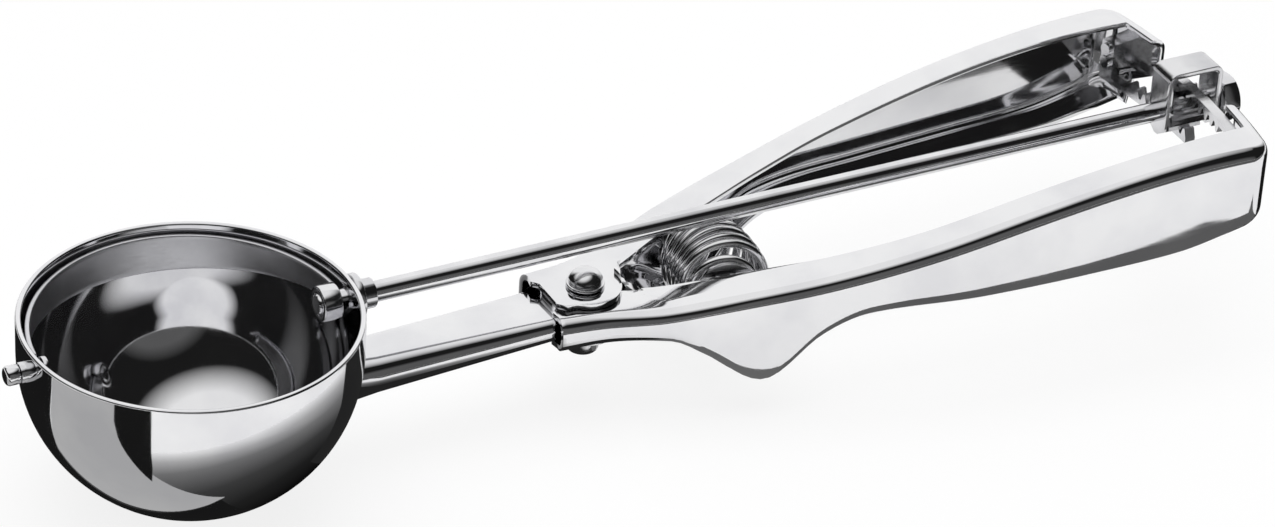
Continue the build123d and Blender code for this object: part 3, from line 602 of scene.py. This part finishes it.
# ---- Far end of the shaft -------------------------------------------------------------------
# A strap bent from satin plate straddles the racks and the pinion and hangs on the shaft, and a
# washer and a chamfered hexagon nut hold it. The racks, the pinion, the racks' rivets and the
# spring's pegs keep their CAD shape and get their finish here.

plate_steel = steel("satin_plate_steel", (0.76, 0.76, 0.77), (0.6, 0.6, 0.62), 0.19, 0.06,
                    (500, 2800, 500), 0.22)
near_x, far_x, strap_top, strap_foot = 188.6 * mm, 199.9 * mm, 8.7 * mm, -4.6 * mm
bend_radius, half_strap, foot_round, foot_tip = 1.8 * mm, 2.9 * mm, 2.6 * mm, 0.5 * mm


def strap_rows():
    """The strap's outer side from its near foot over the top to its far foot."""
    path = [(near_x, strap_foot + (strap_top - bend_radius - strap_foot) * n / 8)
            for n in range(8)]
    path += [(near_x + bend_radius * (1 - cos(pi / 2 * n / 8)),
              strap_top - bend_radius * (1 - sin(pi / 2 * n / 8))) for n in range(9)]
    path += [(far_x - bend_radius * (1 - sin(pi / 2 * n / 8)),
              strap_top - bend_radius * (1 - cos(pi / 2 * n / 8))) for n in range(9)]
    path += [(far_x, strap_foot + (strap_top - bend_radius - strap_foot) * (7 - n) / 8)
             for n in range(8)]
    rows = []
    for x, z in path:
        half_width, low = half_strap, z - strap_foot
        if low < foot_round:
            half_width += sqrt(foot_round**2 - (foot_round - low)**2) - foot_round
            half_width = max(half_width, foot_tip)
        rows.append([Vector((x, half_width * (k / 4 - 1), axis_z + z)) for k in range(9)])
    return rows


strap = formed("rack_bracket_strap", strap_rows())
faced(strap, max(strap.data.polygons, key=lambda face: face.center.z), (0, 0, 1))
modified(strap, "SOLIDIFY", thickness=1 * mm, offset=-1)
rounded_edges(strap, 0.2 * mm, 2, 50)
done(strap, "scoop_frame", "rack_bracket", plate_steel, 45)

end_washer_radius, washer_near, washer_far = 4.1 * mm, 200.1 * mm, 200.59 * mm
end_washer = turned("end_washer_stamped", [
    (shaft_bore, washer_near), (end_washer_radius, washer_near), (end_washer_radius, washer_far),
    (shaft_bore, washer_far), (shaft_bore, washer_near)], (0, 0, axis_z), (1, 0, 0), steps=64)
rounded_edges(end_washer, 0.12 * mm, 2)
done(end_washer, "scraper", "end_washer", plate_steel)

nut_x, nut_thick, flats, nut_chamfer = 200.6 * mm, 3.2 * mm, 8 * mm, 0.42 * mm
point_reach = flats / sqrt(3)
nut_end, beyond = nut_x + nut_thick, 0.01 * mm
# What the hexagon shares with this barrel is the nut, its corners turned off and its bore cut.
barrel_bore, barrel_shoulder = 1.85 * mm, flats / 2 - 0.1 * mm
barrel_radius = point_reach + 0.02 * mm
bpy.ops.object.select_all(action="DESELECT")
bpy.ops.mesh.primitive_cylinder_add(vertices=6, radius=point_reach, depth=nut_thick,
                                    location=(nut_x + nut_thick / 2, 0, axis_z),
                                    rotation=(0, pi / 2, 0))
nut = bpy.context.object
nut.name = "end_nut_hexagon"
bpy.ops.object.transform_apply(location=True, rotation=True, scale=True)
barrel = turned("nut_chamfer", [
    (barrel_bore, nut_x - mm), (barrel_shoulder, nut_x - beyond),
    (barrel_radius, nut_x + nut_chamfer), (barrel_radius, nut_end - nut_chamfer),
    (barrel_shoulder, nut_end + beyond), (barrel_bore, nut_end + mm), (barrel_bore, nut_x - mm)],
    (0, 0, axis_z), (1, 0, 0), steps=96)
modified(nut, "BOOLEAN", operation="INTERSECT", object=barrel, solver="EXACT")
bpy.data.objects.remove(barrel, do_unlink=True)
rounded_edges(nut, 0.08 * mm, 2, 35)
done(nut, "scraper", "end_nut", fitting_steel, 30)

for steel_kind, names in ((plate_steel, ("front_rack", "back_rack", "pinion")),
                          (fitting_steel, ("front_rack_rivets", "back_rack_rivets",
                                           "front_spring_peg", "back_spring_peg"))):
    for name in names:
        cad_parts[name].data.materials.clear()
        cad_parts[name].data.materials.append(steel_kind)


# ---- Surroundings ---------------------------------------------------------------------------
# A white table under two soft lamps. What the polished steel mirrors is a room that is light
# behind and overhead and dark in front, and grey cards that glow on the table, painted
# reflections that mostly stand in for shade.

bpy.ops.object.select_all(action="DESELECT")
bpy.ops.mesh.primitive_plane_add(size=6, location=(0.08, 0, cad_box[0].z - 0.1 * mm))
table = bpy.context.object
table.name = "table"
bpy.ops.object.transform_apply(location=True, rotation=True, scale=True)
paper = bpy.data.materials.new("white_paper")
paper.use_nodes = True
paper_nodes, paper_links = paper.node_tree.nodes, paper.node_tree.links
paper_nodes["Principled BSDF"].inputs["Base Color"].default_value = (0.9, 0.9, 0.9, 1)
paper_nodes["Principled BSDF"].inputs["Roughness"].default_value = 0.9
table.data.materials.append(paper)


def seen_white(nodes, links, by_camera, by_metal):
    """A number that is by_camera on camera rays, by_metal on glossy and transmission rays."""
    ray = nodes.new("ShaderNodeLightPath")
    mirrored = nodes.new("ShaderNodeMath")
    mirrored.operation = "MAXIMUM"
    links.new(ray.outputs["Is Glossy Ray"], mirrored.inputs[0])
    links.new(ray.outputs["Is Transmission Ray"], mirrored.inputs[1])
    part = nodes.new("ShaderNodeMath")
    part.operation = "MULTIPLY"
    part.inputs[1].default_value = by_metal
    links.new(mirrored.outputs["Value"], part.inputs[0])
    whole = nodes.new("ShaderNodeMath")
    whole.operation = "MULTIPLY_ADD"
    whole.inputs[1].default_value = by_camera
    links.new(ray.outputs["Is Camera Ray"], whole.inputs[0])
    links.new(part.outputs["Value"], whole.inputs[2])
    return whole.outputs["Value"]


glow = paper_nodes.new("ShaderNodeEmission")
glow.inputs["Color"].default_value = (1, 1, 1, 1)
glow.inputs["Strength"].default_value = 1.0
cover = paper_nodes.new("ShaderNodeMixShader")
paper_links.new(seen_white(paper_nodes, paper_links, 0.85, 0.2), cover.inputs["Fac"])
paper_links.new(paper_nodes["Principled BSDF"].outputs["BSDF"], cover.inputs[1])
paper_links.new(glow.outputs["Emission"], cover.inputs[2])
paper_links.new(cover.outputs["Shader"], paper_nodes["Material Output"].inputs["Surface"])

world = bpy.data.worlds.new("room")
bpy.context.scene.world = world
world.use_nodes = True
room_nodes, room_links = world.node_tree.nodes, world.node_tree.links
room = room_nodes["Background"]
looking = room_nodes.new("ShaderNodeTexCoord")


def bright_wall(direction, dark_at, light_at, dark, light):
    """Part of the room that is light round a direction and dark away from it."""
    facing = room_nodes.new("ShaderNodeVectorMath")
    facing.operation = "DOT_PRODUCT"
    facing.inputs[1].default_value = Vector(direction).normalized()
    room_links.new(looking.outputs["Generated"], facing.inputs[0])
    ramp = room_nodes.new("ShaderNodeValToRGB")
    ramp.color_ramp.elements[0].position = dark_at
    ramp.color_ramp.elements[0].color = (dark, dark, dark, 1)
    ramp.color_ramp.elements[1].position = light_at
    ramp.color_ramp.elements[1].color = (light, light, light, 1)
    room_links.new(facing.outputs["Value"], ramp.inputs["Fac"])
    return ramp.outputs["Color"]


behind = bright_wall((0.42, 0.77, 0.48), 0.66, 0.82, 0.012, 1.0)
overhead = bright_wall((-0.15, 0.15, 0.98), 0.68, 0.88, 0.0, 0.9)
in_front = bright_wall((0, -1, 0), 0.74, 0.86, 0.0, 0.11)
room_tone = behind
for wall_tone in (overhead, in_front):
    lightest = room_nodes.new("ShaderNodeMix")
    lightest.data_type = "RGBA"
    lightest.blend_type = "LIGHTEN"
    lightest.inputs["Factor"].default_value = 1
    room_links.new(room_tone, lightest.inputs["A"])
    room_links.new(wall_tone, lightest.inputs["B"])
    room_tone = lightest.outputs["Result"]
backdrop = room_nodes.new("ShaderNodeMix")
backdrop.data_type = "RGBA"
backdrop.inputs["B"].default_value = (1, 1, 1, 1)
room_links.new(room_nodes.new("ShaderNodeLightPath").outputs["Is Camera Ray"],
               backdrop.inputs["Factor"])
room_links.new(room_tone, backdrop.inputs["A"])
room_links.new(backdrop.outputs["Result"], room.inputs["Color"])
room.inputs["Strength"].default_value = 1.0


def painted_reflection_card(name, corners, height, grey, centre=None, shades=()):
    """A glowing grey card on the table that only the polished steel sees, a painted reflection.

    Its corners go round in order, in millimetres, and height is over the table. With a centre,
    its grey follows shades instead, as pairs of distance from the centre and grey.
    """
    bpy.ops.object.select_all(action="DESELECT")
    bpy.ops.mesh.primitive_circle_add(vertices=len(corners), radius=mm, fill_type="NGON")
    card = bpy.context.object
    card.name = name
    for vertex, (x, y) in zip(card.data.vertices, corners):
        vertex.co = (x * mm, y * mm, cad_box[0].z + height * mm)
    card.visible_camera = card.visible_diffuse = card.visible_shadow = False
    reflection_paint = bpy.data.materials.new(name)
    reflection_paint.use_nodes = True
    nodes, links = reflection_paint.node_tree.nodes, reflection_paint.node_tree.links
    # Its painted reflection: a flat grey glow, set dark where it stands in for shade.
    tone = nodes.new("ShaderNodeEmission")
    tone.inputs["Color"].default_value = (grey, grey, grey, 1)
    if centre:
        over_card = nodes.new("ShaderNodeTexCoord")
        away = nodes.new("ShaderNodeVectorMath")
        away.operation = "DISTANCE"
        away.inputs[1].default_value = (centre[0] * mm, centre[1] * mm, cad_box[0].z + height * mm)
        links.new(over_card.outputs["Object"], away.inputs[0])
        outward = nodes.new("ShaderNodeMath")
        outward.operation = "MULTIPLY"
        outward.inputs[1].default_value = 1 / (shades[-1][0] * mm)
        links.new(away.outputs["Value"], outward.inputs[0])
        ramp = nodes.new("ShaderNodeValToRGB")
        stops = ramp.color_ramp.elements
        while len(stops) < len(shades):
            stops.new(0.5)
        for stop, (distance, shade) in zip(stops, shades):
            stop.position = distance / shades[-1][0]
            stop.color = (shade, shade, shade, 1)
        links.new(outward.outputs["Value"], ramp.inputs["Fac"])
        links.new(ramp.outputs["Color"], tone.inputs["Color"])
    links.new(tone.outputs["Emission"], nodes["Material Output"].inputs["Surface"])
    card.data.materials.append(reflection_paint)


# A painted contact shadow that the steel mirrors: round, darkest under the bowl.
shade_x, shade_y, shade_reach = 14, -4, 66
painted_reflection_card("painted_bowl_shadow",
          [(shade_x + shade_reach * cos(radians(a)), shade_y + shade_reach * sin(radians(a)))
           for a in range(0, 360, 6)],
          height=0.1, grey=0.5, centre=(shade_x, shade_y),
          shades=[(10, 0.004), (22, 0.015), (34, 0.05), (48, 0.19), (57, 0.45),
                  (shade_reach, 0.9)])
# Painted reflections for the bowl's left side: a pale grey wedge, and black painted shade beside
# it.
painted_reflection_card("painted_pale_wedge",
          [(-2, -27), (-18, -8), (-34, 9), (-80, 25), (-150, 50), (-170, -75), (-72, -34)],
          height=0.2, grey=0.46)
painted_reflection_card("painted_left_shade",
          [(-24, -26), (-72, -34), (-170, -75), (-140, -140), (-30, -33)],
          height=0.3, grey=0.01)
painted_reflection_card("painted_side_shade",
          [(-33, 9), (-150, 50), (-120, 150), (-10, 90), (0, 60), (10, -10), (-3, -26), (-17, -7)],
          height=0.3, grey=0.01)
# Painted shade, mirrored as the dark lines along the neck, under the finger bump,
# along the grip and round its end.
painted_reflection_card("painted_neck_shade", [(24, -20), (84, -17), (84, 14), (24, 14)], height=0.4, grey=0.02)
painted_reflection_card("painted_bump_shade", [(84, -30), (107, -32), (107, -5), (84, 0)], height=0.4, grey=0.15)
painted_reflection_card("painted_grip_shade",
          [(107, -32), (121, -44), (132, -50), (174, -55), (204, -62), (228, -58), (228, -29),
           (204, -27), (204, -14), (107, -14)],
          height=0.4, grey=0.12)
painted_reflection_card("painted_end_shade", [(204, -26), (360, -45), (360, 110), (204, 60)], height=0.4, grey=0.01)
# A painted dark reflection over the floor far in front, which the round edges mirror.
painted_reflection_card("painted_front_shade", [(-120, -125), (-120, -1500), (1500, -1500), (1500, -125)],
          height=0.4, grey=0.11)


def soft_lamp(name, place, size, power):
    """A square soft box that faces the scoop."""
    data = bpy.data.lights.new(name, "AREA")
    data.shape = "RECTANGLE"
    data.size, data.size_y = size
    data.energy = power
    lamp = bpy.data.objects.new(name, data)
    bpy.context.scene.collection.objects.link(lamp)
    aim = Vector((0.09, 0, -0.01)) - Vector(place)
    facing = aim.to_track_quat("-Z", "Y").to_matrix().to_4x4()
    lamp.matrix_world = Matrix.Translation(place) @ facing
    return lamp


# The steel doesn't mirror the lamps themselves, so their square edges never show in it.
front_box = soft_lamp("front_box", place=(-0.35, -0.75, 0.75), size=(0.95, 0.6), power=1.6)
overhead_box = soft_lamp("overhead_box", place=(0.1, 0.05, 1.2), size=(1.2, 1.2), power=11)
front_box.visible_glossy = overhead_box.visible_glossy = False

bpy.context.scene.view_settings.view_transform = "Standard"


# ---- Camera ---------------------------------------------------------------------------------
# It stands in front of the bowl and looks down along the scoop to its far handle.

azimuth, rise, roll = radians(28.87), radians(32.46), radians(3.34)
target, distance = Vector((78.41, -9.33, -4.0)) * mm, 900 * mm
image_width, image_scale = 1275, 5.867     # pixels, and pixels a millimetre at the target
forward = Vector((sin(azimuth) * cos(rise), cos(azimuth) * cos(rise), -sin(rise)))
right = Vector((cos(azimuth), -sin(azimuth), 0))
up = right.cross(forward)
right, up = cos(roll) * right + sin(roll) * up, cos(roll) * up - sin(roll) * right
camera_data = bpy.data.cameras.new("camera")
camera = bpy.data.objects.new("camera", camera_data)
bpy.context.scene.collection.objects.link(camera)
camera_data.sensor_width = 36
camera_data.lens = camera_data.sensor_width * image_scale * (distance / mm) / image_width
camera_data.clip_end = 20
stand = Matrix((right, up, -forward)).transposed().to_4x4()
stand.translation = target - forward * distance
camera.matrix_world = stand
bpy.context.scene.camera = camera
